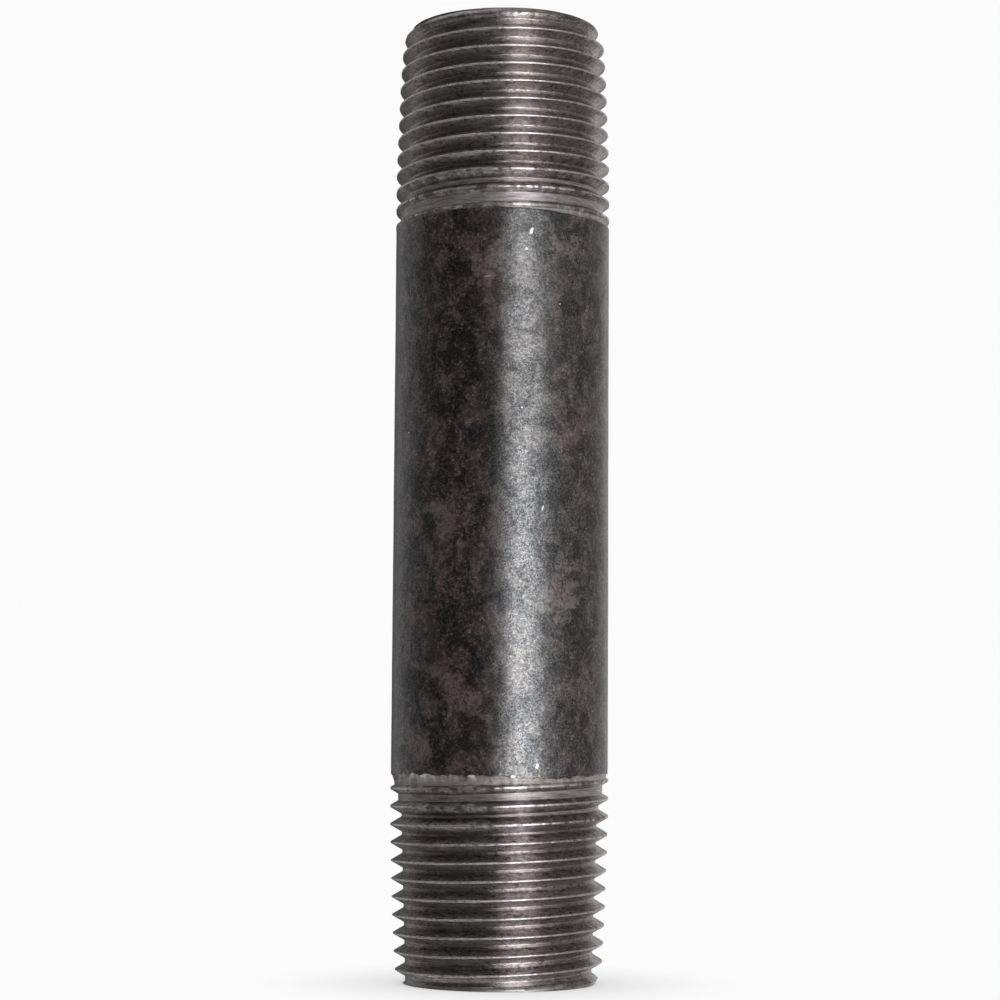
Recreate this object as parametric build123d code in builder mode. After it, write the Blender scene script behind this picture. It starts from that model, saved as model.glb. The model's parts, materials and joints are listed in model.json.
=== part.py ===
"""Threaded steel pipe nipple: nominal 3/8 pipe, 3 in long, taper thread on both ends.

Millimetres, +Z along the pipe, origin on the axis at mid length. Three pieces:

  pipe_body       steel tube with both threads, chamfered and reamed ends
  seam_weld_bead  low ridge of the butt weld along the inside of the bore
  barrel_coating  black layer on the unthreaded barrel
"""

from build123d import *
import math
import os

IN = 25.4

# ---- pipe stock, nominal 3/8, schedule 40 ----
PIPE_R = 0.675 * IN / 2
WALL = 0.091 * IN
BORE_R = PIPE_R - WALL
HALF = 3.0 * IN / 2                 # half the length

# ---- taper thread: 18 per inch, 60 degrees, 1 in 16 on the diameter ----
# Radii ending in R0 lie in the plane of the end face.
PITCH = IN / 18
SLOPE = 1 / 32                      # radius gained per mm away from the end
FLANK = math.tan(math.radians(30))
PITCH_R0 = 0.61201 * IN / 2
DEPTH = 0.8 * PITCH
CREST_R0 = PITCH_R0 + DEPTH / 2
ROOT_R0 = PITCH_R0 - DEPTH / 2
ROOT_HALF = 0.033 * PITCH * FLANK   # half width of the narrow flat at the root
UPPER_PHASE = 0.744                 # end face to first crest, on the -X side
LOWER_PHASE = 1.067
TURNS = 12                          # turns of groove, barrel to past the end face

# ---- groove cutter, above its sloping flanks ----
SIDE_HALF = PITCH / 2 - 0.012       # half width where the sides turn radial
SIDE_R0 = ROOT_R0 + (SIDE_HALF - ROOT_HALF) / FLANK
SIDE_HEIGHT = 1.0                   # radial height of those sides

# ---- crests close to the barrel: beyond the taper they rise only slightly ----
CREST_FULL_R = 8.56
CREST_LAST_R = 8.60
CREST_FULL_DIST = (CREST_FULL_R - CREST_R0) / SLOPE     # from the end face

# ---- run-out: distances from the end face ----
# The groove gets shallower and flat-bottomed over its last turns, and a shallow
# ring lies where the plain barrel begins.
THREAD_END = 16.05                  # start of the plain barrel
RING_START = 15.10
RING_R = 8.40
THROAT_START = 12.15                # where the groove floor starts to rise
GROOVE_START = 15.48                # middle of the groove's beginning
FLOOR_START_R = 8.41                # groove floor at GROOVE_START
THROAT_R = ROOT_R0 + THROAT_START * SLOPE
FLOOR_RISE = (FLOOR_START_R - THROAT_R) / (GROOVE_START - THROAT_START)

# ---- end faces ----
FACE_R = 7.59                       # outer edge of the flat end face
CHAMFER_DEG = 30.0                  # outside chamfer, measured from the axis
CHAMFER_LEN = (CREST_R0 - FACE_R) / (math.tan(math.radians(CHAMFER_DEG)) - SLOPE)
REAM = 0.35                         # inside chamfer left by the reamer

# ---- barrel and its coating ----
COAT = 0.05
STEEL_BARREL_R = PIPE_R - COAT
BARREL_HALF = HALF - THREAD_END

# ---- butt weld: metal set into the wall, with a low ridge inside the bore ----
BEAD_HALF_WIDTH = 1.9 / 2
BEAD_HEIGHT = 0.19                  # ridge above the wall of the bore
BEAD_DEPTH = 0.45                   # fused metal below the wall of the bore
BEAD_GAP = 0.05                     # from the ridge's end to the reamed edge
BEAD_DEG = 62.0                     # direction of the seam, from +X towards +Y
SHOULDER = 0.62                     # ridge shoulder, share of height and half width
CROWN = 0.24                        # flat top, share of half width

SECTION_DEG = 133.0                 # turn of the wall section, clear of groove ends


def groove_section(dist):
    """Cutter section at a distance from the end face: (radius, offset along +Z)."""
    root = ROOT_R0 + dist * SLOPE
    floor = max(root, THROAT_R + (dist - THROAT_START) * FLOOR_RISE)
    floor_half = ROOT_HALF + (floor - root) * FLANK
    side = SIDE_R0 + dist * SLOPE
    return (
        (floor, -floor_half),
        (side, -SIDE_HALF),
        (side + SIDE_HEIGHT, -SIDE_HALF),
        (side + SIDE_HEIGHT, SIDE_HALF),
        (side, SIDE_HALF),
        (floor, floor_half),
    )


def groove_turn(k, phase):
    """Turn k of the +Z end's right-handed groove, counted from the barrel.

    Each corner of the section follows a conical helix; ruled faces join them.
    """
    start = GROOVE_START - k * PITCH
    edges = []
    corners = zip(groove_section(start), groove_section(start - PITCH))
    for (start_r, start_offset), (end_r, end_offset) in corners:
        rise = PITCH + end_offset - start_offset
        edges.append(
            Edge.make_helix(
                pitch=math.hypot(rise, end_r - start_r),
                height=rise,
                radius=start_r,
                center=(0, 0, HALF - start + start_offset),
                normal=(0, 0, 1),
                angle=math.degrees(math.atan2(end_r - start_r, rise)),
            )
        )
    sides = [
        Face.make_surface_from_curves(edge, following)
        for edge, following in zip(edges, edges[1:] + edges[:1])
    ]
    ends = [
        Face(Wire.make_polygon([edge @ u for edge in edges], close=True))
        for u in (0, 1)
    ]
    # Turned so that the groove crosses +X, and so the crest -X, at the phase.
    turns_to_phase = (GROOVE_START - phase) / PITCH
    start_deg = 360 * (math.floor(turns_to_phase) + 1) - 360 * turns_to_phase
    return Solid(Shell(sides + ends)).rotate(Axis.Z, start_deg)


def make_seam_weld_bead():
    """Drawn with +X through the middle of the seam, then turned to BEAD_DEG."""
    half_len = HALF - REAM - BEAD_GAP
    wall_x = math.sqrt(BORE_R**2 - BEAD_HALF_WIDTH**2)
    shoulder_x = BORE_R - SHOULDER * BEAD_HEIGHT
    crown_x = BORE_R - BEAD_HEIGHT
    with BuildPart() as bead:
        with BuildSketch(Plane.XY.offset(-half_len)):
            with BuildLine():
                Polyline(
                    (BORE_R + BEAD_DEPTH, -BEAD_HALF_WIDTH),
                    (BORE_R + BEAD_DEPTH, BEAD_HALF_WIDTH),
                    (wall_x, BEAD_HALF_WIDTH),
                    (shoulder_x, SHOULDER * BEAD_HALF_WIDTH),
                    (crown_x, CROWN * BEAD_HALF_WIDTH),
                    (crown_x, -CROWN * BEAD_HALF_WIDTH),
                    (shoulder_x, -SHOULDER * BEAD_HALF_WIDTH),
                    (wall_x, -BEAD_HALF_WIDTH),
                    close=True,
                )
            make_face()
        extrude(amount=2 * half_len)
    return bead.part.rotate(Axis.Z, BEAD_DEG)


def make_pipe_body(seam):
    """Revolved wall, less both thread grooves and the seam metal."""
    # (radius, z) of the outside, from the +Z end's reamed edge to the barrel
    upper_outline = [
        (BORE_R + REAM, HALF),
        (FACE_R, HALF),
        (CREST_R0 + CHAMFER_LEN * SLOPE, HALF - CHAMFER_LEN),
        (CREST_FULL_R, HALF - CREST_FULL_DIST),
        (CREST_LAST_R, HALF - RING_START),
        (RING_R, HALF - RING_START),
        (RING_R, BARREL_HALF),
        (STEEL_BARREL_R, BARREL_HALF),
    ]
    lower_outline = [(radius, -z) for radius, z in reversed(upper_outline)]

    upper_groove = [groove_turn(k, UPPER_PHASE) for k in range(TURNS)]
    lower_groove = [
        groove_turn(k, LOWER_PHASE).rotate(Axis.X, 180) for k in range(TURNS)
    ]

    angle = math.radians(SECTION_DEG)
    section_plane = Plane(
        origin=(0, 0, 0),
        x_dir=(math.cos(angle), math.sin(angle), 0),
        z_dir=(math.sin(angle), -math.cos(angle), 0),
    )
    with BuildPart() as body:
        with BuildSketch(section_plane):
            with BuildLine():
                Polyline(
                    *upper_outline,
                    *lower_outline,
                    (BORE_R, -HALF + REAM),
                    (BORE_R, HALF - REAM),
                    close=True,
                )
            make_face()
        revolve(axis=Axis.Z)
        for turn in upper_groove + lower_groove:
            add(turn, mode=Mode.SUBTRACT)
        add(seam, mode=Mode.SUBTRACT)
    return body.part


def make_barrel_coating():
    """Thin sleeve around the steel barrel."""
    with BuildPart() as coating:
        with BuildSketch(Plane.XY.offset(-BARREL_HALF)):
            Circle(PIPE_R)
            Circle(STEEL_BARREL_R, mode=Mode.SUBTRACT)
        extrude(amount=2 * BARREL_HALF)
    return coating.part


seam_weld_bead = make_seam_weld_bead()
pieces = {
    "pipe_body": make_pipe_body(seam_weld_bead),
    "seam_weld_bead": seam_weld_bead,
    "barrel_coating": make_barrel_coating(),
}

os.makedirs("parts", exist_ok=True)
for name, piece in pieces.items():
    piece.label = name
    export_step(piece, f"parts/{name}.step")
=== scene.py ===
"""A steel pipe nipple: a tube with a threaded end at each side of a black-coated barrel.

The pipe stands upright on Z, centred on the origin, and the camera looks from -Y with +X to
its right. A weld ridge runs along the bore. Meshes are worked out in millimetres and written
in metres. Each end has its own frame: s runs inwards from the end face and theta goes from +X
towards +Y. The lower end is the upper one turned half round X.
"""

import json
import math

import bmesh
import bpy
import numpy as np
from mathutils import Matrix, Vector


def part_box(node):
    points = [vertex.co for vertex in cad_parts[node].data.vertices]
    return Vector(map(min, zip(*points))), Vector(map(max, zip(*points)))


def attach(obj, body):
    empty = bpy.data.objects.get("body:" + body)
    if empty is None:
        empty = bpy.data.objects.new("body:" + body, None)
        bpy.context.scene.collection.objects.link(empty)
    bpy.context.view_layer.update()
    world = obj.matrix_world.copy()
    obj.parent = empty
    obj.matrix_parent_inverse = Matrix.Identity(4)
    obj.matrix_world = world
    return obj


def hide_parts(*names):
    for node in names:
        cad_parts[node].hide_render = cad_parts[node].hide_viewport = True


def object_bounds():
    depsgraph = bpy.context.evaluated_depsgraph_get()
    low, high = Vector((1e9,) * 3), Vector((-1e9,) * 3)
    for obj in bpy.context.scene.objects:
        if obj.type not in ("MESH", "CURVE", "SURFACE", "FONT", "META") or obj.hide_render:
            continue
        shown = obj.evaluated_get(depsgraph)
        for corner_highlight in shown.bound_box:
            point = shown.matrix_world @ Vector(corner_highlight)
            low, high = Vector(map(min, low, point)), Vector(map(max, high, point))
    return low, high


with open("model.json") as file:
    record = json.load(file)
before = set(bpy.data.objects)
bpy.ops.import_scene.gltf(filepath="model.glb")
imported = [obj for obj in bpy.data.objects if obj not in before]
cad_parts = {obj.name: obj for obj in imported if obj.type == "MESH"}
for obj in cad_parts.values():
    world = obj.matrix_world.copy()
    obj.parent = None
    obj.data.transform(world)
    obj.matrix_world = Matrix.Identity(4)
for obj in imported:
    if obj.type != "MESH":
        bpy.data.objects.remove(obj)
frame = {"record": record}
cad_low, cad_high = [[float(c) for c in corner_highlight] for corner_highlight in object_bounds()]

# ---------------------------------------------------------------------------
# Main sizes, in millimetres.
# ---------------------------------------------------------------------------
_, coat_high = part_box("barrel_coating")
bead_low, bead_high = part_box("seam_weld_bead")
TWO_PI = 2 * math.pi
HALF = cad_high[2] * 1000                      # half length of the pipe
BARREL = float(coat_high[2]) * 1000            # half length of the plain barrel
END = HALF - BARREL                            # threaded length at each end
PIPE_R = float(coat_high[0]) * 1000
BORE_R = next(
    m["dims"]["r_mm"] for m in frame["record"]["mounts"] if m["name"] == "bore"
)
COAT_THICK = 0.055
WALL_R = PIPE_R - COAT_THICK                   # steel under the black layer
PITCH = 25.4 / 18
COLS = 350                                     # columns round the tube
COAT_COLS = 420                                # columns round the black layer

# The thread.
CRESTS = [                                     # s, diameter over the crests
    (0.0, 16.05), (1.07, 16.22), (2.48, 16.44), (3.89, 16.60), (5.30, 16.73), (6.71, 16.83),
    (8.12, 16.93), (9.53, 17.03), (10.95, 17.14), (12.36, 17.20), (13.77, 17.24), (15.9, 17.24),
]
FLANK_SLOPE = 1.732                            # radial drop per distance along the pipe
ROOT_R0 = 7.208 + 0.085                        # groove floor at the end face
ROOT_TAPER = 1 / 32
THROAT_S = 13.2                                # where the rising throat has THROAT_R
THROAT_R = 7.70
THROAT_RISE = 0.225
THROAT_TILT = 0.05                             # slope of the floor within one groove
FACE_R = 7.59                                  # outer radius of the end face
CHAMFER = 0.50                                 # radial rise of the bevel along s
DENT_R = 8.5                                   # radius used to measure dents round the pipe

# Mesh rows of one turn, in turns from the crest and from each corner of flank and floor.
CREST_ROWS = [-0.070, -0.027, 0.027, 0.070]
CORNER_ROWS = [-0.022, 0.022, 0.070]
ROW_LIMIT = 0.478
SKIN_OVERLAP = 0.95                            # skin carried on under the black layer

# The two ends. phase: s of the first crest at 180 degrees; scallop: size of the ripples on
# the black layer's edge; lean, bare and edge: (degrees, value) round the pipe, for the shift
# of the thread along s, the strength of the bared band and the offset of the layer's edge;
# dents: (theta, s, size round, size along, depth), theta in radians.
UPPER = {
    "phase": 0.744, "seed": 1200, "flipped": False, "scallop": 0.018,
    "lean": [(0, 0.0)],
    "bare": [
        (0, 0.3), (60, 0.3), (180, 0.2), (245, 0.1), (262, 0.2), (275, 0.6), (300, 0.4),
        (330, 0.35),
    ],
    "edge": [
        (0, 0.12), (40, 0.10), (90, 0.05), (140, 0.10), (160, 0.30), (182, 0.40), (205, 0.36),
        (222, 0.26), (240, 0.16), (255, 0.02), (270, 0.05), (285, 0.06), (301, 0.18),
        (323, 0.30), (341, 0.20),
    ],
    "dents": [],
}
LOWER = {
    "phase": 1.067, "seed": 2400, "flipped": True, "scallop": 0.085,
    "lean": [
        (0, 0.0), (30, -0.06), (60, -0.14), (90, -0.20), (120, -0.22), (150, -0.12),
        (180, 0.0), (270, 0.0),
    ],
    "bare": [(0, 0.55), (40, 0.6), (80, 0.7), (95, 1.0), (160, 1.0), (200, 0.8), (300, 0.6)],
    "edge": [
        (0, 0.42), (30, 0.30), (60, 0.04), (75, -0.08), (86, 0.08), (96, 0.22), (135, 0.24),
        (180, 0.22), (230, 0.20), (290, 0.28),
    ],
    "dents": [
        (0.02, 11.60, 0.30, 0.36, 0.22), (0.17, 11.80, 0.24, 0.30, 0.16),
        (0.30, 13.00, 0.22, 0.30, 0.12), (0.06, 8.83, 0.26, 0.30, 0.16),
        (0.03, 7.42, 0.30, 0.36, 0.22), (0.20, 7.30, 0.24, 0.30, 0.16),
        (0.05, 5.95, 0.22, 0.30, 0.13), (0.10, 3.20, 0.26, 0.30, 0.13),
        (0.42, 4.45, 0.26, 0.30, 0.10), (2.60, 1.60, 0.50, 0.40, 0.12),
        (1.95, 2.90, 0.20, 0.24, 0.10), (4.10, 9.10, 0.30, 0.30, 0.15),
    ],
}


# ---------------------------------------------------------------------------
# Seeded noise, periodic round the tube, and blending curves.
# ---------------------------------------------------------------------------
def ring_noise(theta, cells, seed):
    """Smooth noise in -1..1 round the circle with the given number of cells."""
    table = np.random.RandomState(seed).uniform(-1, 1, cells)
    u = np.mod(theta / TWO_PI, 1.0) * cells
    i = np.floor(u).astype(int)
    f = u - i
    f = f * f * (3 - 2 * f)
    return table[i % cells] * (1 - f) + table[(i + 1) % cells] * f


def skin_noise(theta, z, cells, cell_z, seed):
    """Smooth noise in -1..1 over the skin, with cells round it and cell_z tall."""
    rows = 512
    table = np.random.RandomState(seed).uniform(-1, 1, (rows, cells))
    u = np.mod(theta / TWO_PI, 1.0) * cells
    v = z / cell_z + 200.0                     # the offset keeps row numbers positive
    i, j = np.floor(u).astype(int), np.floor(v).astype(int)
    fu, fv = u - i, v - j
    fu, fv = fu * fu * (3 - 2 * fu), fv * fv * (3 - 2 * fv)
    i0, i1, j0, j1 = i % cells, (i + 1) % cells, j % rows, (j + 1) % rows
    below = table[j0, i0] * (1 - fu) + table[j0, i1] * fu
    above = table[j1, i0] * (1 - fu) + table[j1, i1] * fu
    return below * (1 - fv) + above * fv


def fade(start, end, value):
    """Smoothstep: 0 at start, 1 at end. start may be the larger."""
    t = np.clip((value - start) / (end - start), 0.0, 1.0)
    return t * t * (3 - 2 * t)


def around(theta, table):
    """Smooth periodic curve through (degrees, value) pairs in rising order."""
    degrees = np.mod(np.degrees(theta), 360.0)
    xs, ys = np.array(table, dtype=float).T
    xs = np.concatenate([xs - 360, xs, xs + 360])
    ys = np.concatenate([ys, ys, ys])
    out = np.zeros_like(degrees)
    for shift in (-9, -4, 0, 4, 9):            # an average of five places rounds the bends
        out = out + 0.2 * np.interp(degrees + shift, xs, ys)
    return out


# ---------------------------------------------------------------------------
# Mesh helpers.
# ---------------------------------------------------------------------------
def ring_angles(count):
    return np.arange(count) * TWO_PI / count


def add_point(bm, radius, angle, z):
    """Vertex at a cylindrical place given in millimetres."""
    return bm.verts.new((
        radius * math.cos(angle) / 1000, radius * math.sin(angle) / 1000, z / 1000
    ))


def add_ring(bm, theta, radii, heights):
    """Ring of vertices; radii and heights may each be one number or an array."""
    radii = np.broadcast_to(radii, theta.shape)
    heights = np.broadcast_to(heights, theta.shape)
    return [add_point(bm, r, a, z) for r, a, z in zip(radii, theta, heights)]


def bridge(bm, rings):
    """Join each ring to the next with quads."""
    for lower, upper in zip(rings, rings[1:]):
        count = len(lower)
        for i in range(count):
            k = (i + 1) % count
            bm.faces.new((lower[i], lower[k], upper[k], upper[i]))


def write_mesh(bm, name):
    mesh = bpy.data.meshes.new(name)
    bm.to_mesh(mesh)
    bm.free()
    return mesh


def smooth_mesh(bm, name):
    """Turn the normals outwards, shade smooth and write the mesh."""
    bmesh.ops.recalc_face_normals(bm, faces=bm.faces[:])
    for face in bm.faces:
        face.smooth = True
    return write_mesh(bm, name)


# ---------------------------------------------------------------------------
# The skin of one threaded end.
# ---------------------------------------------------------------------------
def coat_edge(theta, spec):
    """Where the black layer starts, as a distance from the end face."""
    seed = spec["seed"] + 20
    size = spec["scallop"]
    scallop = size * ring_noise(theta, 134, seed) + 0.4 * size * ring_noise(theta, 230, seed + 1)
    wander = 0.04 * ring_noise(theta, 15, seed + 2)
    return END + around(theta, spec["edge"]) + wander + scallop


def crest_flank(s):
    """Crest diameter at s, and how far the flanks' own peak stands above the crest."""
    return np.interp(s, *np.transpose(CRESTS)), 0.072 + 0.075 * fade(9.0, 14.0, s)


def groove_floor(s, s_root):
    """Radius of the groove's floor, which rises along the throat near the barrel."""
    throat = THROAT_R + (s_root - THROAT_S) * THROAT_RISE + (s - s_root) * THROAT_TILT
    return np.maximum(ROOT_R0 + s_root * ROOT_TAPER, throat)


def groove_corner(s_crest, side):
    """Where flank meets floor on one side (-1 or 1) of a crest, in turns from it."""
    s_root = s_crest + 0.5 * side * PITCH
    diameter, sharp = crest_flank(s_crest)
    floor = groove_floor(s_crest + 0.35 * side * PITCH, s_root)
    return np.clip((diameter / 2 + sharp - floor) / (PITCH * FLANK_SLOPE), 0.13, 0.43)


def crest_chips(theta, crest_index, seed):
    """Depth in 0..1 of the ragged chips in the crests, drawn apart for each turn."""
    chips = np.zeros_like(theta)
    turns = crest_index.astype(int)
    for turn in np.unique(turns):
        on_turn = turns == turn
        angles = theta[on_turn]
        k = int(turn) % 97
        chatter = (
            0.50 * ring_noise(angles, 137, seed + 31 * k)
            + 0.30 * ring_noise(angles, 61, seed + 37 * k)
            + 0.50 * ring_noise(angles, 179, seed + 5 * k)
        )
        where = fade(-0.6, 0.35, ring_noise(angles, 9, seed + 3 + 13 * k))
        chips[on_turn] = fade(-0.06, 0.42, chatter) * (0.20 + 0.80 * where)
    return chips


def end_skin(theta, s, spec):
    """Radius of the steel at (theta, s), and the masks stored on its vertices."""
    seed = spec["seed"]
    # Turns from the first crest: whole numbers are crests, halves are roots.
    lean = around(theta, spec["lean"])
    phase = (s - lean - spec["phase"]) / PITCH + (theta - math.pi) / TWO_PI
    crest_index = np.round(phase)
    signed = phase - crest_index
    off_crest = np.abs(signed)
    along = theta + TWO_PI * crest_index * 0.317   # shifts the noise from turn to turn
    s_root = s + (np.floor(phase) + 0.5 - phase) * PITCH

    # Crests, chipped more deeply towards the barrel.
    diameter, sharp = crest_flank(s)
    wild = fade(9.5, 14.0, s)
    chips = crest_chips(theta, crest_index, seed)
    crest = diameter / 2 - chips * (0.010 + 0.045 * wild)
    crest = crest + 0.008 * ring_noise(along, 23, seed + 5)

    flank = diameter / 2 + sharp - off_crest * PITCH * FLANK_SLOPE
    floor = groove_floor(s, s_root)
    floor = floor + 0.004 * ring_noise(along, 26, seed + 6)
    r = np.minimum(np.maximum(flank, floor), crest)

    # Bevel at the mouth, with a ragged line where it meets the first turn.
    ragged = (
        0.030 * ring_noise(theta, 46, seed + 11) + 0.030 * ring_noise(theta, 120, seed + 12)
    )
    bevel = FACE_R + s * CHAMFER + (ragged - 0.01) * fade(0.15, 0.6, s)
    mouth = fade(0.02, -0.10, bevel - r)
    r = np.minimum(r, bevel)

    # The last ridge is no taller than the barrel, and the wall steps to carry the layer.
    edge = coat_edge(theta, spec)
    r = np.minimum(r, PIPE_R + 0.02)
    step = fade(-0.05, 0.03, s - edge)
    r = r * (1 - step) + WALL_R * step

    for dent_theta, dent_s, size_round, size_along, depth in spec["dents"]:
        turned = np.angle(np.exp(1j * (theta - dent_theta)))
        hollow = np.exp(
            -((turned * DENT_R / size_round) ** 2) - ((s - dent_s) / size_along) ** 2
        )
        r = r - depth * hollow * fade(0.45, 0.10, off_crest)

    # Masks. thread is 1 between the mouth and the black layer.
    thread = (1 - step) * (1 - mouth)
    # is_crest also sets where a highlight is painted along the crests.
    is_crest = fade(0.07, 0.015, off_crest) * thread
    s_crest = s - signed * PITCH
    meet = np.where(signed > 0, groove_corner(s_crest, 1), groove_corner(s_crest, -1))
    is_root = fade(-0.03, 0.04, off_crest - meet) * thread
    # Painted highlight: a light line only at the corner below each crest, on its -Z side.
    side = -1.0 if spec["flipped"] else 1.0
    corner_highlight = fade(0.050, 0.0, np.abs(signed * side - meet)) * thread * (1 - 0.70 * wild)

    # Torn places and painted shadow: chips, tears beside the crest, a painted shadow along the
    # rim by the barrel, and dark flanks.
    torn_and_shadow = chips * fade(0.14, 0.03, off_crest) * (1 - step) * (0.25 + 0.75 * wild)
    tear = fade(0.075, 0.02, np.abs(signed - 0.105))
    tear = tear * fade(-0.25, 0.30, ring_noise(theta, 92, seed + 61))
    torn_and_shadow = np.maximum(torn_and_shadow, 0.8 * tear * wild * thread)
    # Painted shadow: a dark strip on the steel just before the black layer.
    rim = fade(END - 0.50, END - 0.30, s)
    rim = rim * fade(-0.40, 0.20, ring_noise(theta, 74, seed + 63))
    torn_and_shadow = np.maximum(torn_and_shadow, 0.85 * rim * (1 - step))
    flank_band = fade(0.055, 0.085, off_crest) * fade(0.03, -0.015, off_crest - meet)
    smudge = 0.60 + 0.40 * ring_noise(theta, 96, seed + 65)
    torn_and_shadow = np.maximum(torn_and_shadow, 0.85 * flank_band * wild * smudge * thread)

    # The band of steel next to the black layer.
    gap = edge - s
    bare = fade(0.78, 0.40, gap) * fade(-0.12, 0.0, gap) * around(theta, spec["bare"])
    bare = bare * (0.75 + 0.45 * ring_noise(theta, 130, seed + 41)) * (1 - 0.5 * is_crest)
    return r, {
        "crest": is_crest,
        "root": is_root,
        "torn_and_shadow": torn_and_shadow,
        "bare": np.clip(bare, 0, 1),
        "corner_highlight": corner_highlight,
        "land": is_root * fade(12.5, 13.7, s),  # floors of the last, shallow grooves
    }


def end_grid(theta):
    """Function giving s for each column and row of an end, and the rows in one turn."""
    def places(spec):
        lean = around(theta, spec["lean"])
        rows = []
        for k in range(-2, int(END / PITCH) + 2):
            s_crest = spec["phase"] + (k - (theta - math.pi) / TWO_PI) * PITCH + lean
            before, after = groove_corner(s_crest, -1), groove_corner(s_crest, 1)
            turn = [-np.minimum(before + d, ROW_LIMIT) for d in reversed(CORNER_ROWS)]
            turn += CREST_ROWS
            turn += [np.minimum(after + d, ROW_LIMIT) for d in CORNER_ROWS]
            rows += [s_crest + f * PITCH for f in turn]
        return np.clip(np.stack(rows, axis=1), 0.0, END + SKIN_OVERLAP)
    return places, len(CREST_ROWS) + 2 * len(CORNER_ROWS)


# ---------------------------------------------------------------------------
# The steel tube.
# ---------------------------------------------------------------------------
FACE_STEPS = [(7.42, 0.0), (7.12, 0.0), (6.86, 0.0), (6.66, 0.012)]    # radius, inset
REAM_R, REAM_INSET = 6.56, 0.06                # outer edge of the reamed cone
CONE_GAP, CONE_INSET = 0.10, 0.30              # within the cone: gap to the bore, inset
LIP_INSET = 0.48                               # where the bore proper starts


def add_end(bm, layers, spec):
    """Add one threaded skin; return its outer rim and its neck under the layer."""
    theta = ring_angles(COLS)
    places, rows_per_turn = end_grid(theta)
    s = places(spec)
    rows = s.shape[1]
    angles = np.repeat(theta[:, None], rows, axis=1)
    r, masks = end_skin(angles, s, spec)
    sign = -1 if spec["flipped"] else 1
    columns = []
    for i in range(COLS):
        column = []
        last_key = None
        for j in range(rows):
            # Rows clipped to the same place share one vertex.
            key = round(float(s[i, j]), 7)
            if key != last_key:
                vert = add_point(bm, r[i, j], sign * angles[i, j], sign * (HALF - s[i, j]))
                for name, layer in layers.items():
                    vert[layer] = masks[name][i, j]
                last_key = key
            column.append(vert)
        columns.append(column)
    for i, column in enumerate(columns):
        following = columns[(i + 1) % COLS]
        # The helix climbs one turn by the time it comes round to the first column.
        shift = 0 if i + 1 < COLS else -rows_per_turn
        for j in range(rows - 1):
            near = following[min(max(j + shift, 0), rows - 1)]
            far = following[min(max(j + 1 + shift, 0), rows - 1)]
            corners = []
            for vert in (column[j], column[j + 1], far, near):
                if vert not in corners:
                    corners.append(vert)
            if len(corners) >= 3:
                bm.faces.new(corners)
    rim = [column[0] for column in columns]
    neck = [column[-1] for column in columns]
    if spec["flipped"]:                        # back to the angles of the upper end
        rim = [rim[0]] + rim[:0:-1]
        neck = [neck[0]] + neck[:0:-1]
    return rim, neck


def face_rings(theta, side, seed):
    """(radii, heights) from the end face over the reamed edge into the bore."""
    wave = 0.010 * ring_noise(theta, 26, seed) + 0.008 * ring_noise(theta, 70, seed + 1)
    steps = [
        (radius, side * (HALF - inset - np.clip(wave, 0, 1))) for radius, inset in FACE_STEPS
    ]
    ream = REAM_R + 0.03 * ring_noise(theta, 13, seed + 2)
    steps.append((ream, side * (HALF - REAM_INSET)))
    steps.append((BORE_R + CONE_GAP, side * (HALF - CONE_INSET)))
    steps.append((
        BORE_R + 0.012 * ring_noise(theta, 34, seed + 3),
        side * (HALF - LIP_INSET - 0.06 * ring_noise(theta, 30, seed + 4)),
    ))
    return steps


def build_tube():
    """One closed mesh: both threaded skins, the covered barrel, faces and bore."""
    bm = bmesh.new()
    layers = {
        name: bm.verts.layers.float.new(name)
        for name in ("crest", "root", "torn_and_shadow", "bare", "corner_highlight", "land")
    }
    # Making a layer can move the others, so they are looked up again.
    layers = {name: bm.verts.layers.float[name] for name in layers}
    upper_rim, upper_neck = add_end(bm, layers, UPPER)
    lower_rim, lower_neck = add_end(bm, layers, LOWER)

    theta = ring_angles(COLS)
    barrel = [
        add_ring(bm, theta, WALL_R, z) for z in np.linspace(BARREL - 2.6, -BARREL + 2.6, 5)
    ]
    bridge(bm, [upper_neck] + barrel + [lower_neck])

    inside = face_rings(theta, side=1, seed=501)
    for z in np.linspace(HALF - 2.4, -HALF + 2.4, 12):
        inside.append((BORE_R + 0.022 * skin_noise(theta, z, 38, 9.0, 811), z))
    inside += reversed(face_rings(theta, side=-1, seed=701))
    rings = [add_ring(bm, theta, radii, heights) for radii, heights in inside]
    bridge(bm, [upper_rim] + rings + [lower_rim])
    return smooth_mesh(bm, "steel_tube")


def assign_tube_slots(mesh):
    """Slot 1 goes to the bore and slot 2 to the end faces; the rest stays slot 0."""
    for poly in mesh.polygons:
        centre = poly.center * 1000
        r = math.hypot(centre.x, centre.y)
        height = abs(centre.z)
        if r < BORE_R + 0.05 + 0.3 * (height < HALF - 0.5):
            poly.material_index = 1
        elif height > HALF - 0.32 and r < FACE_R - 0.02:
            poly.material_index = 2


# ---------------------------------------------------------------------------
# The black layer and the weld ridge.
# ---------------------------------------------------------------------------
# Distances of the rows inwards from each edge of the layer.
EDGE_ROWS = [0.0, 0.025, 0.06, 0.11, 0.18, 0.28, 0.42, 0.62, 0.90, 1.3, 1.9]
EDGE_THICK = {0.0: 0.018, 0.025: 0.040, 0.06: 0.052}   # thinner rows at the very edge
TORN_WIDTH = 0.7                               # how far in the torn surface reaches
FAR_FROM_EDGE = 9.0


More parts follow.
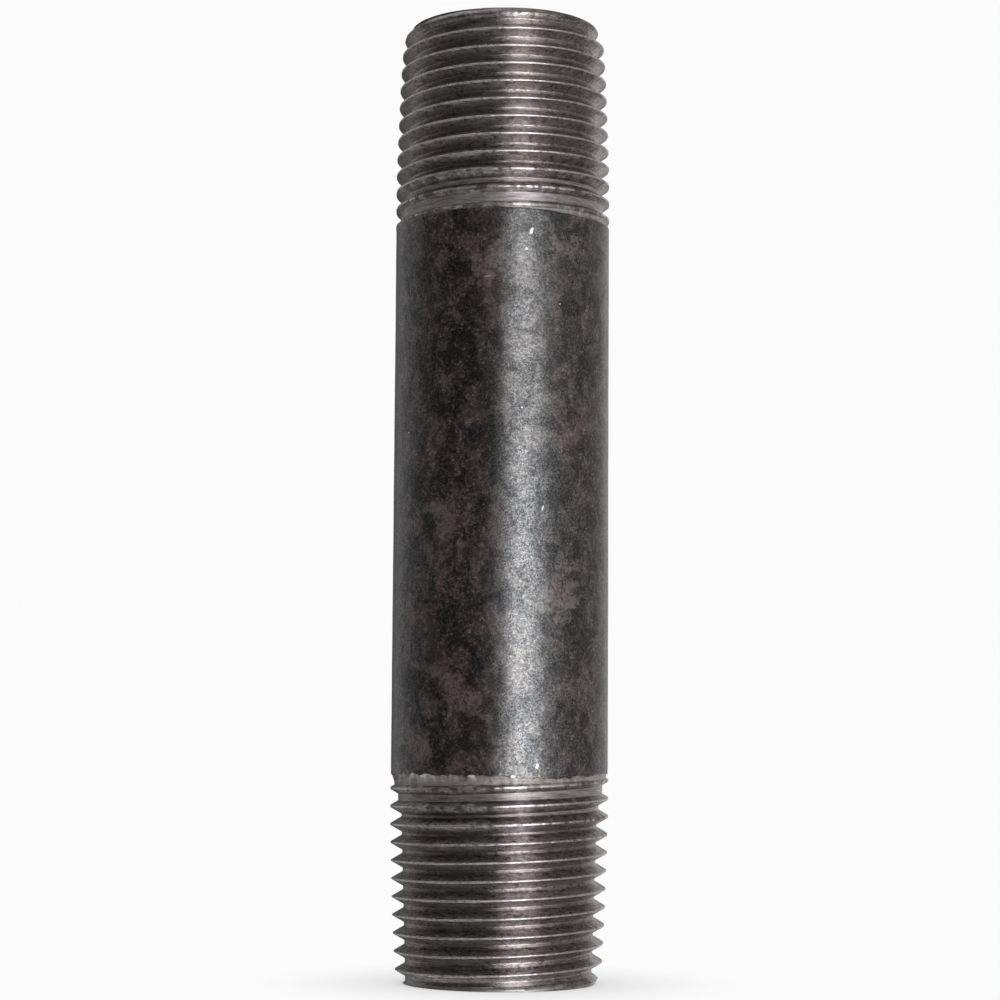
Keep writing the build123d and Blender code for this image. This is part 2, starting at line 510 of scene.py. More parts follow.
def build_coat():
    """The black layer on the barrel: a closed thin sleeve with scalloped edges."""
    bm = bmesh.new()
    theta = ring_angles(COAT_COLS)
    upper = HALF - coat_edge(theta, UPPER)
    lower = -HALF + coat_edge(-theta, LOWER)
    last = EDGE_ROWS[-1]
    rows = [(d, upper - d) for d in EDGE_ROWS]
    rows += [
        (FAR_FROM_EDGE, (upper - last) * (1 - f) + (lower + last) * f)
        for f in np.linspace(0, 1, 50)[1:-1]
    ]
    rows += [(d, lower + d) for d in reversed(EDGE_ROWS)]
    rings = []
    for distance, z in rows:
        wave = (
            0.010 * skin_noise(theta, z, 14, 6.0, 900)
            + 0.006 * skin_noise(theta, z, 48, 2.1, 901)
            + 0.005 * skin_noise(theta, z, 150, 0.75, 902)
        )
        r = WALL_R + EDGE_THICK.get(distance, COAT_THICK) + wave * min(1.0, 0.25 + distance)
        if 0.0 < distance < TORN_WIDTH:
            pits = np.clip(skin_noise(theta, z, 110, 0.30, 903), 0, 1)
            r = r - 0.030 * pits * (1 - distance / TORN_WIDTH)
        rings.append(add_ring(bm, theta, np.maximum(r, WALL_R + 0.012), z))
    # The inner wall lies just inside the steel.
    for z in (lower, lower * 0.5, 0.0, upper * 0.5, upper):
        rings.append(add_ring(bm, theta, WALL_R - 0.004, z))
    bridge(bm, rings + [rings[0]])
    return smooth_mesh(bm, "black_layer")


RIDGE_ROWS, RIDGE_COLS = 170, 13
RIDGE_HALF_WIDTH, RIDGE_HEIGHT = 0.93, 0.165
RIDGE_DEPTH = 0.40                             # how far its back lies within the wall
RIDGE_SINK = 0.03                              # its long edges sink into the wall


def build_ridge():
    """The weld ridge inside the bore: a low, slightly wandering rounded bead."""
    bm = bmesh.new()
    rng = np.random.RandomState(77)

    def wander(step):
        """Random values in -1..1, one every so many rows, joined by straight lines."""
        knots = np.arange(0, RIDGE_ROWS, step)
        return np.interp(np.arange(RIDGE_ROWS), knots, rng.uniform(-1, 1, len(knots)))

    middle = math.atan2(
        float(bead_low[1] + bead_high[1]), float(bead_low[0] + bead_high[0])
    )
    heights = np.linspace(float(bead_low[2]) * 1000, float(bead_high[2]) * 1000, RIDGE_ROWS)
    half_angle = (RIDGE_HALF_WIDTH / BORE_R) * (1 + 0.10 * wander(6))
    centre = middle + 0.010 * wander(14)
    rise = RIDGE_HEIGHT * (1 + 0.14 * wander(4))
    across = [-1 + 2 * j / (RIDGE_COLS - 1) for j in range(RIDGE_COLS)]

    def sheet(radius):
        return [
            [add_point(bm, radius(k, u), centre[k] + u * half_angle[k], z) for u in across]
            for k, z in enumerate(heights)
        ]

    top = sheet(
        lambda k, u: BORE_R - rise[k] * (1 - u * u) ** 0.8 + RIDGE_SINK * (abs(u) > 0.99)
    )
    back = sheet(lambda k, u: BORE_R + RIDGE_DEPTH)
    for k in range(RIDGE_ROWS - 1):
        for j in range(RIDGE_COLS - 1):
            bm.faces.new((top[k][j], top[k][j + 1], top[k + 1][j + 1], top[k + 1][j]))
            bm.faces.new((back[k][j], back[k + 1][j], back[k + 1][j + 1], back[k][j + 1]))
        for j in (0, RIDGE_COLS - 1):
            bm.faces.new((top[k][j], top[k + 1][j], back[k + 1][j], back[k][j]))
    for k in (0, RIDGE_ROWS - 1):
        for j in range(RIDGE_COLS - 1):
            bm.faces.new((top[k][j], back[k][j], back[k][j + 1], top[k][j + 1]))
    return smooth_mesh(bm, "weld_ridge")


# ---------------------------------------------------------------------------
# Node helpers.
# ---------------------------------------------------------------------------
class Nodes:
    """An emptied node tree with its output node, and short ways to add to it."""

    def __init__(self, tree, output_kind):
        self.tree = tree
        tree.nodes.clear()
        self.out = self.add(output_kind)

    def add(self, kind, **props):
        node = self.tree.nodes.new(kind)
        for key, value in props.items():
            setattr(node, key, value)
        return node

    def put(self, socket, value):
        """Link a socket, or set a number or an RGB colour."""
        if isinstance(value, bpy.types.NodeSocket):
            self.tree.links.new(value, socket)
        elif isinstance(value, tuple):
            socket.default_value = (*value, 1.0)
        else:
            socket.default_value = value

    def math(self, operation, *values, clamp=False):
        node = self.add("ShaderNodeMath", operation=operation, use_clamp=clamp)
        for socket, value in zip(node.inputs, values):
            self.put(socket, value)
        return node.outputs[0]

    def times(self, first, second, clamp=False):
        return self.math("MULTIPLY", first, second, clamp=clamp)

    def plus(self, total, *terms):
        """total plus each (value, weight) term."""
        for value, weight in terms:
            total = self.math("ADD", total, self.times(value, weight))
        return total

    def roughen(self, value, *noises):
        """value pushed up and down by each (noise, amount), the noise centred on 0.5."""
        for noise, amount in noises:
            value = self.plus(value, (self.math("SUBTRACT", noise, 0.5), amount))
        return value

    def noise(self, vector, scale, detail, rough, distortion=0.0):
        node = self.add("ShaderNodeTexNoise")
        self.put(node.inputs["Vector"], vector)
        self.put(node.inputs["Scale"], scale)
        self.put(node.inputs["Detail"], detail)
        self.put(node.inputs["Roughness"], rough)
        self.put(node.inputs["Distortion"], distortion)
        return node.outputs["Fac"]

    def ramp(self, factor, stops):
        """Colour ramp through (position, colour) stops."""
        node = self.add("ShaderNodeValToRGB")
        elements = node.color_ramp.elements
        elements.remove(elements[-1])
        for i, (position, colour) in enumerate(stops):
            element = elements[0] if i == 0 else elements.new(position)
            element.position = position
            element.color = (*colour, 1.0)
        self.put(node.inputs["Fac"], factor)
        return node.outputs["Color"]

    def range(self, value, span, to=(0.0, 1.0), interpolation="SMOOTHSTEP"):
        """Map the span of value onto to, clamped."""
        node = self.add("ShaderNodeMapRange", interpolation_type=interpolation)
        self.put(node.inputs["Value"], value)
        self.put(node.inputs["From Min"], span[0])
        self.put(node.inputs["From Max"], span[1])
        self.put(node.inputs["To Min"], to[0])
        self.put(node.inputs["To Max"], to[1])
        return node.outputs["Result"]

    def mix(self, factor, first, second, data_type="RGBA"):
        kind = "VALUE" if data_type == "FLOAT" else "RGBA"
        node = self.add("ShaderNodeMix", data_type=data_type)
        self.put(node.inputs["Factor"], factor)
        for name, value in (("A", first), ("B", second)):
            self.put([s for s in node.inputs if s.name == name and s.type == kind][0], value)
        return [s for s in node.outputs if s.type == kind][0]

    def stain(self, base, mask, span, amount, colour):
        """Lay a colour over base, from none to amount as the mask crosses span."""
        return self.mix(self.range(mask, span, to=(0.0, amount)), base, colour)

    def combine(self, x, y, z):
        node = self.add("ShaderNodeCombineXYZ")
        for socket, value in zip(node.inputs, (x, y, z)):
            self.put(socket, value)
        return node.outputs[0]

    def bump(self, height, strength, distance, normal=None):
        """Bump with its distance in metres."""
        node = self.add("ShaderNodeBump")
        self.put(node.inputs["Height"], height)
        self.put(node.inputs["Strength"], strength)
        self.put(node.inputs["Distance"], distance)
        if normal is not None:
            self.put(node.inputs["Normal"], normal)
        return node.outputs["Normal"]

    def camera_switch(self, unseen, seen):
        """Shader that is seen by camera rays and unseen by all others, as the output."""
        light_path = self.add("ShaderNodeLightPath")
        switch = self.add("ShaderNodeMixShader")
        self.put(switch.inputs[0], light_path.outputs["Is Camera Ray"])
        self.put(switch.inputs[1], unseen.outputs[0])
        self.put(switch.inputs[2], seen.outputs[0])
        self.put(self.out.inputs["Surface"], switch.outputs[0])


class Skin(Nodes):
    """A new material with the object position in millimetres: pos, x, y and z."""

    def __init__(self, name):
        self.material = bpy.data.materials.new(name)
        self.material.use_nodes = True
        super().__init__(self.material.node_tree, "ShaderNodeOutputMaterial")
        coords = self.add("ShaderNodeTexCoord")
        scale = self.add("ShaderNodeVectorMath", operation="SCALE")
        self.put(scale.inputs[0], coords.outputs["Object"])
        self.put(scale.inputs["Scale"], 1000.0)
        self.pos = scale.outputs[0]
        parts = self.add("ShaderNodeSeparateXYZ")
        self.put(parts.inputs[0], self.pos)
        self.x, self.y, self.z = parts.outputs

    def length(self, u, v):
        return self.math("SQRT", self.math("ADD", self.times(u, u), self.times(v, v)))

    def angle(self):
        return self.math("ARCTAN2", self.y, self.x)

    def squeeze(self, xy=None, z=None):
        """Position with x and y scaled by xy, and z by z. None leaves a part alone."""
        def scaled(value, factor):
            return value if factor is None else self.times(value, factor)
        return self.combine(scaled(self.x, xy), scaled(self.y, xy), scaled(self.z, z))

    def layer(self, name):
        node = self.add(
            "ShaderNodeAttribute", attribute_type="GEOMETRY", attribute_name=name
        )
        return node.outputs["Fac"]

    def spot(self, theta, degrees, height, half_width, half_height, slant):
        """1 in the middle of an oval patch on the barrel, falling to 0 at its rim."""
        turned = self.math("SUBTRACT", theta, math.radians(degrees))
        arc = self.math("ARCTAN2", self.math("SINE", turned), self.math("COSINE", turned))
        arc = self.times(arc, MARK_R)
        rise = self.math("SUBTRACT", self.z, height)
        arc = self.math("SUBTRACT", arc, self.times(rise, slant))
        u = self.times(arc, 1 / half_width)
        v = self.times(rise, 1 / half_height)
        return self.math("SUBTRACT", 1.0, self.length(u, v), clamp=True)

    def patches(self, theta, marks, *noises, span):
        """Mask of all the marks of a table, with rims broken up by (noise, amount)s."""
        mask = None
        for mark in marks:
            spot = self.spot(theta, *mark)
            mask = spot if mask is None else self.math("MAXIMUM", mask, spot)
        return self.range(self.roughen(mask, *noises), span)

    def finish(self, **inputs):
        """Principled surface; underscores in input names stand for spaces."""
        node = self.add("ShaderNodeBsdfPrincipled")
        for key, value in inputs.items():
            self.put(node.inputs[key.replace("_", " ")], value)
        self.put(self.out.inputs["Surface"], node.outputs[0])
        return self.material


# ---------------------------------------------------------------------------
# Materials.
# ---------------------------------------------------------------------------
def steel_material():
    """Thread steel: warm grey, oily, with fine lines that follow the turns."""
    m = Skin("threaded_steel")
    # Squeezing x and y more than z draws the marks out round the pipe.
    lines = m.noise(m.squeeze(xy=0.10, z=9.0), scale=1.6, detail=5.0, rough=0.65)
    fine_lines = m.noise(m.squeeze(xy=0.5, z=30.0), scale=1.0, detail=3.0, rough=0.6)
    scratch = m.noise(m.squeeze(xy=0.9, z=12.0), scale=1.0, detail=4.0, rough=0.7)
    pit = m.noise(m.squeeze(xy=2.2, z=4.6), scale=1.0, detail=4.0, rough=0.7)
    streak = m.noise(
        m.squeeze(xy=0.30, z=1.25), scale=1.0, detail=5.0, rough=0.60, distortion=0.5
    )
    blotch = m.noise(m.pos, scale=0.30, detail=5.0, rough=0.62, distortion=0.6)
    smut = m.noise(
        m.squeeze(xy=0.42, z=1.1), scale=1.0, detail=6.0, rough=0.66, distortion=0.35
    )
    grain = m.noise(m.pos, scale=7.0, detail=4.0, rough=0.65)
    fray = m.noise(m.pos, scale=3.4, detail=4.0, rough=0.65)

    base = m.ramp(streak, [
        (0.30, (0.120, 0.098, 0.088)), (0.44, (0.225, 0.195, 0.187)),
        (0.58, (0.320, 0.284, 0.278)), (0.72, (0.470, 0.424, 0.413)),
    ])
    dirt = m.range(smut, span=(0.50, 0.68), to=(0.0, 0.85))
    base = m.stain(base, lines, span=(0.38, 0.66), amount=0.40, colour=(0.43, 0.388, 0.374))
    base = m.stain(base, fine_lines, span=(0.50, 0.70), amount=0.40, colour=(0.15, 0.126, 0.115))
    base = m.stain(base, blotch, span=(0.44, 0.60), amount=0.50, colour=(0.215, 0.170, 0.152))
    base = m.mix(dirt, base, (0.110, 0.084, 0.073))
    base = m.stain(base, grain, span=(0.52, 0.68), amount=0.50, colour=(0.10, 0.082, 0.073))
    base = m.stain(base, scratch, span=(0.53, 0.66), amount=0.60, colour=(0.62, 0.560, 0.535))
    base = m.stain(base, pit, span=(0.51, 0.61), amount=0.88, colour=(0.048, 0.038, 0.033))

    def frayed(base, mask, span, to, colour):
        """Lay a colour over a mask, broken up by the fray noise."""
        return m.mix(m.times(mask, m.range(fray, span, to)), base, colour)

    # Painted highlights along the crests; dark in torn places and in the painted shadow by the
    # black layer; over duller roots.
    base = frayed(
        base, m.layer("crest"), span=(0.36, 0.56), to=(0.35, 0.85), colour=(0.80, 0.730, 0.690)
    )
    # This dark layer holds the torn places and also the painted shadow by the black layer.
    base = m.stain(
        base, m.roughen(m.layer("torn_and_shadow"), (fray, 1.5)),
        span=(0.22, 0.70), amount=0.72, colour=(0.060, 0.046, 0.040),
    )
    base = frayed(
        base, m.layer("root"), span=(0.40, 0.60), to=(0.15, 0.60), colour=(0.19, 0.158, 0.143)
    )
    # The scraped floor of the last, shallow grooves.
    land = m.layer("land")
    drag = m.noise(
        m.squeeze(xy=0.55, z=8.0), scale=1.0, detail=4.0, rough=0.62, distortion=0.3
    )
    floor_tone = m.ramp(drag, [
        (0.34, (0.150, 0.122, 0.116)), (0.46, (0.330, 0.290, 0.283)),
        (0.60, (0.500, 0.447, 0.440)), (0.72, (0.640, 0.590, 0.580)),
    ])
    base = frayed(base, land, span=(0.36, 0.60), to=(0.95, 0.60), colour=floor_tone)
    # Painted highlight: a light line at the corner below each crest.
    base = frayed(
        base, m.layer("corner_highlight"), span=(0.38, 0.58), to=(0.20, 0.75), colour=(0.70, 0.640, 0.608)
    )
    # Tan band next to the black layer.
    bare = m.layer("bare")
    tan_noise = m.noise(m.squeeze(z=0.7), scale=1.9, detail=5.0, rough=0.7, distortion=0.4)
    tan = m.ramp(tan_noise, [
        (0.36, (0.130, 0.090, 0.062)), (0.45, (0.370, 0.305, 0.245)),
        (0.53, (0.590, 0.530, 0.455)), (0.64, (0.800, 0.765, 0.700)),
    ])
    base = frayed(base, bare, span=(0.34, 0.54), to=(0.45, 1.0), colour=tan)

    metal = m.math("SUBTRACT", 0.91, m.times(land, 0.25))
    metal = m.math("SUBTRACT", metal, m.times(bare, 0.70), clamp=True)
    cut = m.bump(
        m.plus(lines, (fine_lines, 0.4), (scratch, 0.3)), strength=0.60, distance=0.00003
    )
    normal = m.bump(m.plus(grain, (smut, 0.5)), strength=0.35, distance=0.000018, normal=cut)
    # The turning marks spread light across themselves and not along.
    tangent = m.add("ShaderNodeVectorMath", operation="NORMALIZE")
    m.put(tangent.inputs[0], m.combine(m.times(m.y, -1.0), m.x, 0.0))
    return m.finish(
        Base_Color=base, Metallic=metal, Normal=normal,
        Roughness=m.plus(0.19, (lines, 0.12), (dirt, 0.10), (bare, 0.22), (land, 0.10)),
        Anisotropic=1.0, Anisotropic_Rotation=0.25, Tangent=tangent.outputs[0],
    )


def bore_material():
    """Inside of the pipe: dull scaled wall with lines drawn along it."""
    m = Skin("scaled_bore")
    lines = m.noise(m.squeeze(xy=3.0, z=0.12), scale=1.2, detail=5.0, rough=0.6)
    scale = m.noise(m.pos, scale=0.9, detail=6.0, rough=0.65, distortion=0.5)
    rust = m.noise(m.pos, scale=2.4, detail=5.0, rough=0.7)
    base = m.ramp(scale, [
        (0.32, (0.020, 0.018, 0.018)), (0.52, (0.055, 0.047, 0.043)),
        (0.72, (0.110, 0.080, 0.062)),
    ])
    base = m.stain(base, lines, span=(0.5, 0.7), amount=0.4, colour=(0.10, 0.094, 0.09))
    base = m.stain(base, rust, span=(0.58, 0.70), amount=0.55, colour=(0.115, 0.050, 0.022))
    return m.finish(
        Base_Color=base, Metallic=0.55, Roughness=m.plus(0.50, (scale, 0.2)),
        Normal=m.bump(m.math("ADD", lines, scale), strength=0.6, distance=0.00006),
    )


def face_material():
    """End faces: brighter steel with turned rings."""
    m = Skin("turned_face")
    polar = m.combine(m.times(m.length(m.x, m.y), 7.0), m.times(m.angle(), 0.4), 0.0)
    rings = m.noise(polar, scale=1.4, detail=4.0, rough=0.6)
    blotch = m.noise(m.pos, scale=0.9, detail=5.0, rough=0.6)
    smut = m.noise(m.pos, scale=2.2, detail=5.0, rough=0.7)
    base = m.ramp(blotch, [(0.3, (0.20, 0.185, 0.175)), (0.7, (0.40, 0.375, 0.355))])
    base = m.stain(base, rings, span=(0.4, 0.66), amount=0.6, colour=(0.50, 0.475, 0.455))
    base = m.stain(base, smut, span=(0.56, 0.70), amount=0.7, colour=(0.06, 0.05, 0.045))
    return m.finish(
        Base_Color=base, Metallic=0.9, Roughness=m.plus(0.34, (blotch, 0.18)),
        Normal=m.bump(rings, strength=0.5, distance=0.00004),
    )


# Marks on the barrel: degrees round from +X, height, half width, half height, slant.
MARK_R = 8.57                                  # radius that turns angles into widths
RUBBED = [
    (246.0, -15.2, 2.4, 3.2, -0.55), (302.0, -8.2, 2.3, 3.6, 0.05),
    (222.0, -19.6, 3.0, 2.2, -0.4), (305.0, 19.0, 2.2, 1.6, 0.0),
    (262.0, 17.5, 1.8, 2.6, 0.3), (240.0, -2.0, 1.9, 3.0, -0.5), (120.0, 6.0, 3.2, 5.0, 0.4),
    (60.0, -12.0, 2.8, 4.4, -0.3), (20.0, 4.0, 2.0, 5.0, 0.2), (165.0, -6.0, 2.2, 3.6, 0.3),
]
POLISHED = [
    (280.0, -11.4, 2.4, 6.6, 0.02), (281.0, -19.0, 1.7, 3.4, 0.0), (279.0, 2.0, 1.4, 3.4, 0.1),
    (281.0, 19.0, 1.5, 2.0, 0.0), (95.0, -4.0, 2.0, 7.0, 0.1), (160.0, 9.0, 1.6, 5.0, 0.2),
]
NICKS = [
    (285.2, 20.15, 0.22, 0.42, 0.30), (282.5, 18.75, 0.12, 0.16, 0.0),
    (289.6, -21.10, 0.18, 0.30, 0.10), (292.0, -1.35, 0.10, 0.32, 0.45),
    (277.0, -21.9, 0.30, 0.16, 0.0), (262.4, 16.55, 0.40, 0.10, 2.0),
    (280.6, 6.35, 0.10, 0.12, 0.0), (301.5, 14.6, 0.14, 0.10, 0.0),
    (212.0, 4.8, 0.20, 0.10, 1.5), (100.0, 10.0, 0.14, 0.40, 0.4),
    (75.0, -7.0, 0.10, 0.30, -0.5), (10.0, 12.0, 0.12, 0.24, 0.3),
]


def coat_material():
    """Black scale under thin varnish: mottled near-black with brown-grey wear."""
    m = Skin("black_varnish")
    theta = m.angle()
    big = m.noise(m.squeeze(z=0.55), scale=0.17, detail=4.0, rough=0.6, distortion=0.9)
    mid = m.noise(m.squeeze(z=0.8), scale=0.62, detail=6.0, rough=0.68, distortion=0.7)
    fleck = m.noise(m.pos, scale=3.6, detail=5.0, rough=0.75, distortion=0.2)
    grain = m.noise(m.pos, scale=10.0, detail=4.0, rough=0.72)
    dusting = m.noise(m.squeeze(xy=0.6), scale=9.0, detail=2.0, rough=0.5)
    scuff = m.noise(m.squeeze(xy=0.35, z=2.2), scale=1.6, detail=4.0, rough=0.6)
    sparkle = m.noise(m.pos, scale=7.0, detail=3.0, rough=0.75)
    hue = m.noise(m.pos, scale=2.6, detail=2.0, rough=0.55)

    rub = m.patches(theta, RUBBED, (mid, 1.9), (fleck, 0.9), span=(0.16, 0.74))
    polish = m.patches(theta, POLISHED, (mid, 0.7), (fleck, 0.6), span=(0.10, 0.75))
    nick = m.patches(theta, NICKS, (grain, 1.3), span=(0.25, 0.55))

    # The varnish: brown-black and patchy.
    base = m.ramp(m.roughen(mid, (fleck, 0.40), (grain, 0.28)), [
        (0.32, (0.0026, 0.0022, 0.0024)), (0.46, (0.0078, 0.0052, 0.0044)),
        (0.60, (0.033, 0.0205, 0.0165)), (0.76, (0.080, 0.052, 0.043)),
    ])
    base = m.stain(base, big, span=(0.50, 0.64), amount=0.50, colour=(0.044, 0.0265, 0.0212))
    # Thin places where grey-brown scale shows through.
    worn = m.times(m.range(big, span=(0.49, 0.64)), m.range(mid, span=(0.45, 0.62)))
    worn = m.math("MAXIMUM", m.times(worn, 0.55), rub)
    worn = m.times(worn, m.range(fleck, span=(0.36, 0.60), to=(0.10, 1.0)))
    base = m.mix(m.times(worn, 0.70), base, (0.172, 0.126, 0.112))
    dust = m.times(m.range(grain, span=(0.47, 0.62)), m.range(fleck, span=(0.48, 0.62)))
    dust = m.times(dust, m.range(mid, span=(0.40, 0.58), to=(0.35, 1.0)))
    base = m.mix(m.times(dust, 0.80), base, (0.270, 0.212, 0.176))
    scuffs = m.times(m.range(scuff, span=(0.60, 0.70)), m.range(mid, span=(0.45, 0.60)))
    base = m.mix(m.times(scuffs, 0.25), base, (0.19, 0.165, 0.153))

    # Glossy scale and matt wear side by side give the broken, sparkling highlight.
    shine = m.range(fleck, span=(0.34, 0.56), to=(0.35, 1.0))
    shine = m.times(m.range(sparkle, span=(0.42, 0.60)), shine)
    gleam = m.times(polish, m.range(shine, span=(0.0, 0.8), to=(0.35, 1.0)))
    metallic = m.math("MAXIMUM", m.times(worn, 0.35), m.times(nick, 0.9))
    metallic = m.math("MAXIMUM", metallic, m.times(dust, 0.40))
    metallic = m.math("MAXIMUM", metallic, m.times(gleam, 0.72))
    tint = m.mix(m.range(hue, span=(0.42, 0.58)), (0.230, 0.248, 0.275), (0.310, 0.280, 0.250))
    base = m.mix(m.times(gleam, 0.60), base, tint)
    base = m.mix(nick, base, (0.62, 0.60, 0.57))
    rough = m.range(fleck, span=(0.32, 0.68), to=(0.36, 0.20), interpolation="LINEAR")
    level = m.range(shine, span=(0.0, 1.0), to=(0.30, 0.95), interpolation="LINEAR")
    level = m.plus(level, (worn, 0.35))
    level = m.times(level, m.range(mid, span=(0.36, 0.60), to=(0.66, 1.12)), clamp=True)

    relief = m.plus(m.times(fleck, 0.30), (sparkle, 0.75))
    relief = m.bump(relief, strength=0.5, distance=0.000011)
    return m.finish(
        Base_Color=base, Metallic=metallic, Roughness=m.plus(rough, (worn, 0.06)),
        Normal=m.bump(dusting, strength=0.5, distance=0.000006, normal=relief),
        Specular_IOR_Level=level, IOR=1.85,
    )


def weld_material():
    """Dull fused ridge with ripples and heat tint."""
    m = Skin("weld_ridge_steel")
    ripple = m.noise(m.squeeze(xy=0.5, z=2.6), scale=1.2, detail=4.0, rough=0.6)
    tint = m.noise(m.pos, scale=0.8, detail=5.0, rough=0.6)
    base = m.ramp(tint, [(0.3, (0.045, 0.040, 0.040)), (0.7, (0.13, 0.105, 0.09))])
    base = m.stain(base, ripple, span=(0.5, 0.7), amount=0.5, colour=(0.20, 0.185, 0.175))
    return m.finish(
        Base_Color=base, Metallic=0.75, Roughness=m.plus(0.42, (tint, 0.2)),
        Normal=m.bump(ripple, strength=0.7, distance=0.00008),
    )


# ---------------------------------------------------------------------------
# The pieces.
# ---------------------------------------------------------------------------
def add_object(name, data):
    obj = bpy.data.objects.new(name, data)
    bpy.context.scene.collection.objects.link(obj)
    return obj


def piece(name, mesh, node, materials):
    """Add a mesh that takes the place of one CAD node."""
    obj = add_object(name, mesh)
    for material in materials:
        mesh.materials.append(material)
    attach(obj, "root")
    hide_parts(node)


tube_mesh = build_tube()
piece(
    "steel_tube", tube_mesh, "pipe_body",
    [steel_material(), bore_material(), face_material()],
)
assign_tube_slots(tube_mesh)
piece("black_layer", build_coat(), "barrel_coating", [coat_material()])
piece("weld_ridge", build_ridge(), "seam_weld_bead", [weld_material()])

# ---------------------------------------------------------------------------
# Stage, in metres: a plain pale floor in a plain pale surround.
# ---------------------------------------------------------------------------
PALE = (0.97, 0.97, 0.97)
FLOOR_GAP = 0.00002                            # floor below the foot of the pipe
FLOOR_RADII = (0.03, 0.08, 0.2, 0.5, 1.2, 3.0)
FLOOR_SIDES = 64


def floor_material():
    """Even pale sheet with a soft contact shadow, clear to all but the camera."""
    material = bpy.data.materials.new("pale_floor")
    material.use_nodes = True
    m = Nodes(material.node_tree, "ShaderNodeOutputMaterial")
    occlusion = m.add("ShaderNodeAmbientOcclusion", samples=8)
    m.put(occlusion.inputs["Distance"], 0.012)
    glow = m.add("ShaderNodeEmission")
    m.put(glow.inputs["Color"], PALE)
    m.put(glow.inputs["Strength"], m.range(
        occlusion.outputs["AO"], span=(0.0, 1.0), to=(0.50, 1.0), interpolation="LINEAR"
    ))
    m.camera_switch(unseen=m.add("ShaderNodeBsdfTransparent"), seen=glow)
    return material


def stage_floor():
    bm = bmesh.new()
    z = cad_low[2] - FLOOR_GAP
    centre = bm.verts.new((0, 0, z))
    rings = [
        [
            bm.verts.new((radius * math.cos(a), radius * math.sin(a), z))
            for a in np.linspace(0, TWO_PI, FLOOR_SIDES, endpoint=False)
        ]
        for radius in FLOOR_RADII
    ]
    for k in range(FLOOR_SIDES):
        bm.faces.new((centre, rings[0][k], rings[0][(k + 1) % FLOOR_SIDES]))
    for inner, outer in zip(rings, rings[1:]):
        for k in range(FLOOR_SIDES):
            n = (k + 1) % FLOOR_SIDES
            bm.faces.new((inner[k], outer[k], outer[n], inner[n]))
    obj = add_object("pale_floor", write_mesh(bm, "pale_floor"))
    obj.data.materials.append(floor_material())


stage_floor()

# The studio: a tall soft box on the front right whose left edge lines up with the camera,
# a dim left side and soft fill behind.
# Light from the sides: degrees round from -Y towards +X, strength.
SIDE = [
    (-180, 0.144), (-164, 0.13), (-150, 0.302), (-138, 0.475), (-118, 0.389), (-98, 0.209),
    (-75, 0.094), (-50, 0.061), (-20, 0.058), (-0.8, 0.061), (0.4, 1.08), (8, 2.304),
    (14, 5.472), (25, 6.9), (34, 5.1), (44, 2.45), (54, 0.90), (68, 0.54), (82, 0.338),
    (102, 0.274), (125, 0.432), (150, 0.684), (166, 0.612), (174, 0.324), (180, 0.144),
]
# Light from steeply above and below: X of the direction, strength.
STEEP = [
    (-1.0, 0.629), (-0.30, 0.851), (-0.010, 0.814), (0.006, 0.636), (0.07, 0.562),
    (0.15, 0.562), (0.25, 0.518), (0.42, 0.37), (1.0, 0.326),
]


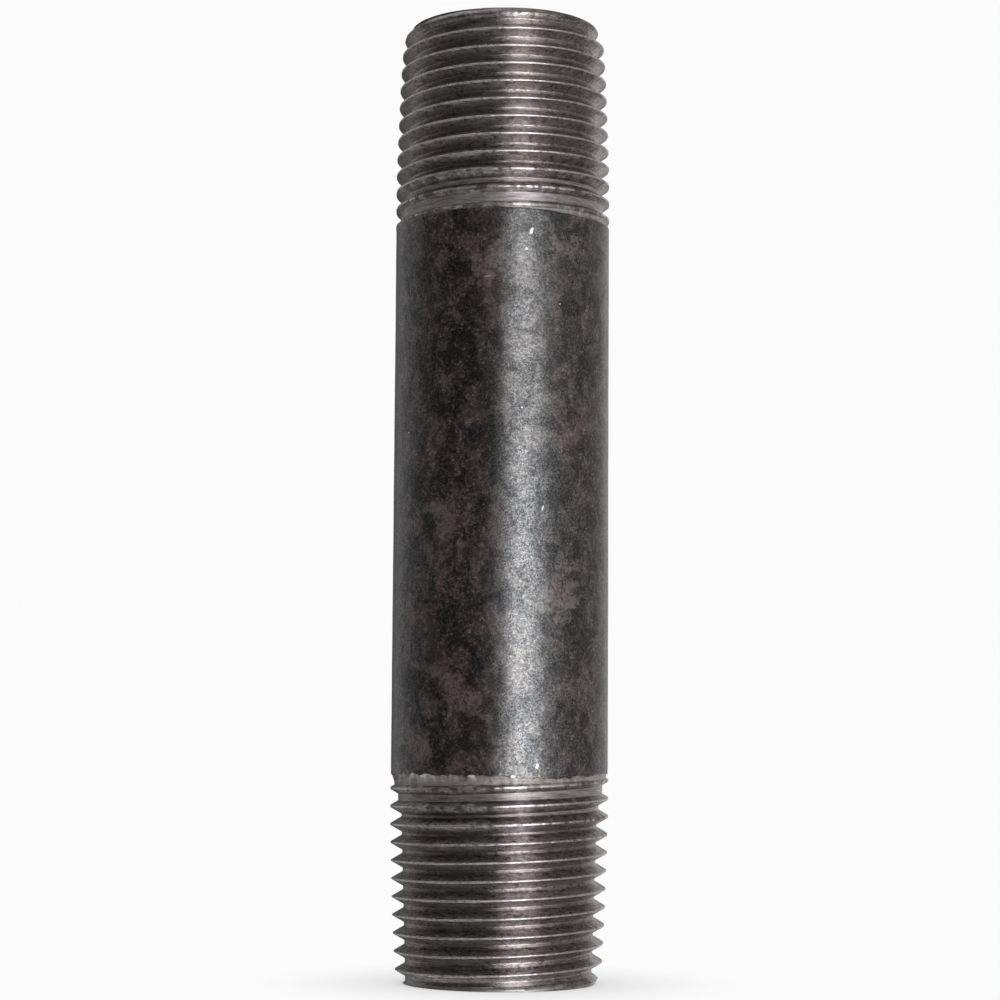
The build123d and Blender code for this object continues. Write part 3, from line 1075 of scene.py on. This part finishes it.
def build_world():
    world = bpy.data.worlds.new("studio")
    bpy.context.scene.world = world
    world.use_nodes = True
    w = Nodes(world.node_tree, "ShaderNodeOutputWorld")
    coords = w.add("ShaderNodeTexCoord")
    parts = w.add("ShaderNodeSeparateXYZ")
    w.put(parts.inputs[0], coords.outputs["Generated"])
    dx, dy, dz = parts.outputs

    def towards_camera():
        return w.times(dy, -1.0)

    def curve(value, stops, top):
        """Strengths up to top along a table whose first column value spans as 0..1."""
        low, high = stops[0][0], stops[-1][0]
        greys = [((p - low) / (high - low), (v / top,) * 3) for p, v in stops]
        return w.times(w.ramp(value, greys), top)

    turn = w.math("ARCTAN2", dx, towards_camera())
    turn = w.math("ADD", w.times(turn, 1 / TWO_PI), 0.5)
    side = curve(turn, SIDE, top=8.0)
    # The front light fades above and below the height of the part.
    front = w.range(towards_camera(), span=(0.1, 0.6))
    level = w.times(
        w.range(dz, span=(0.03, 0.24), to=(1.0, 0.25)),
        w.range(dz, span=(-0.70, -0.15), to=(0.55, 1.0)),
    )
    side = w.times(side, w.mix(front, 1.0, level, data_type="FLOAT"))
    across = w.range(dx, span=(-1.0, 1.0), interpolation="LINEAR")
    steep = curve(across, STEEP, top=1.0)
    # A pale table top in front and below lights the undersides a little.
    table = w.times(
        w.range(dz, span=(-0.35, -0.75)), w.range(towards_camera(), span=(0.25, 0.55))
    )
    steep = w.plus(steep, (table, 0.55))
    # Steep light takes over away from the horizon, later at the front and below.
    low_front = w.times(front, w.range(dz, span=(-0.10, -0.40)))
    slope = w.math("SUBTRACT", w.math("ABSOLUTE", dz), w.times(low_front, 0.16))
    strength = w.mix(w.range(slope, span=(0.42, 0.80)), side, steep, data_type="FLOAT")
    # Cool from the front, slightly cool from behind on the left, warm elsewhere.
    cool = w.times(w.range(dx, span=(0.05, -0.35)), w.range(dy, span=(-0.35, 0.25)))
    colour = w.mix(front, (1.0, 0.975, 0.965), (0.935, 0.967, 1.0))
    colour = w.mix(cool, colour, (0.97, 0.965, 1.0))
    studio = w.add("ShaderNodeBackground")
    w.put(studio.inputs["Color"], colour)
    w.put(studio.inputs["Strength"], strength)
    pale = w.add("ShaderNodeBackground")
    w.put(pale.inputs["Color"], PALE)
    w.put(pale.inputs["Strength"], 1.0)
    w.camera_switch(unseen=studio, seen=pale)


build_world()

# ---------------------------------------------------------------------------
# Camera: metres and radians; the lens and sensor are in millimetres.
# ---------------------------------------------------------------------------
CAM_LENS, CAM_SENSOR = 92.3796, 36.0
CAM_DISTANCE, CAM_Z = 0.20416, -0.01955
CAM_PITCH, CAM_ROLL, CAM_YAW = 0.0954, 0.0062, 0.0004


def add_camera():
    """Camera on the -Y side, pitched upwards, then yawed about Z and rolled."""
    data = bpy.data.cameras.new("camera")
    data.sensor_fit = "HORIZONTAL"
    data.sensor_width = CAM_SENSOR
    data.lens = CAM_LENS
    data.clip_start = 0.005
    data.clip_end = 20.0
    cos, sin = math.cos(CAM_PITCH), math.sin(CAM_PITCH)
    yaw = Matrix.Rotation(CAM_YAW, 3, "Z")
    right = yaw @ Vector((1, 0, 0))
    forward = yaw @ Vector((0, cos, sin))
    up = yaw @ Vector((0, -sin, cos))
    cos, sin = math.cos(CAM_ROLL), math.sin(CAM_ROLL)
    right, up = cos * right + sin * up, -sin * right + cos * up
    turn = Matrix((right, up, -forward)).transposed()
    camera = add_object("camera", data)
    camera.matrix_world = Matrix.Translation((0.0, -CAM_DISTANCE, CAM_Z)) @ turn.to_4x4()
    bpy.context.scene.camera = camera


add_camera()
bpy.context.scene.view_settings.view_transform = "Standard"

bpy.context.view_layer.update()
